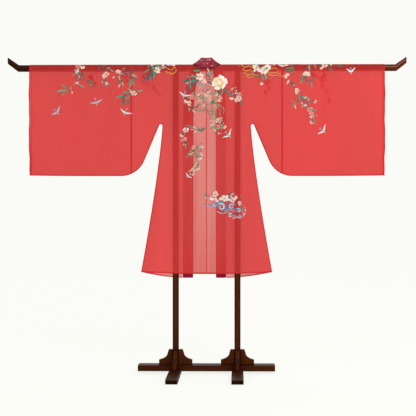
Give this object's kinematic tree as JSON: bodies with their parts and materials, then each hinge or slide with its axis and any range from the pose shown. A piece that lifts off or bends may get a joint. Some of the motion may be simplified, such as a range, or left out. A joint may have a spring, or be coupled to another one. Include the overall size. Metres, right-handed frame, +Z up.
{
  "type": "hanfu robe on wooden stand",
  "caption": "Open-front, wide-sleeved robe of sheer cloth with a band collar, hung over the crossbar of a two-post wooden robe stand.",
  "frame": {"origin": "on the floor, midway between the two feet of the stand", "axes": "+X along the crossbar towards the wearer's right sleeve, +Y out of the robe's open front, +Z up"},
  "size_m": [2.268, 0.512, 1.797],
  "materials": {
    "sheer_red": "sheer silk gauze, faint sheen",
    "collar_brocade": "satin brocade",
    "dark_wood": "dark lacquered, semi-gloss"
  },
  "bodies": {
    "root": {"body_left": "sheer_red", "body_right": "sheer_red", "sleeve_left": "sheer_red", "sleeve_right": "sheer_red", "collar": "collar_brocade", "crossbar": "dark_wood", "base_beam": "dark_wood", "post_left": "dark_wood", "post_right": "dark_wood", "foot_left": "dark_wood", "foot_right": "dark_wood", "bracket_left_outer": "dark_wood", "bracket_left_inner": "dark_wood", "bracket_left_front": "dark_wood", "bracket_left_back": "dark_wood", "bracket_right_outer": "dark_wood", "bracket_right_inner": "dark_wood", "bracket_right_front": "dark_wood", "bracket_right_back": "dark_wood"}
  },
  "joints": []
}
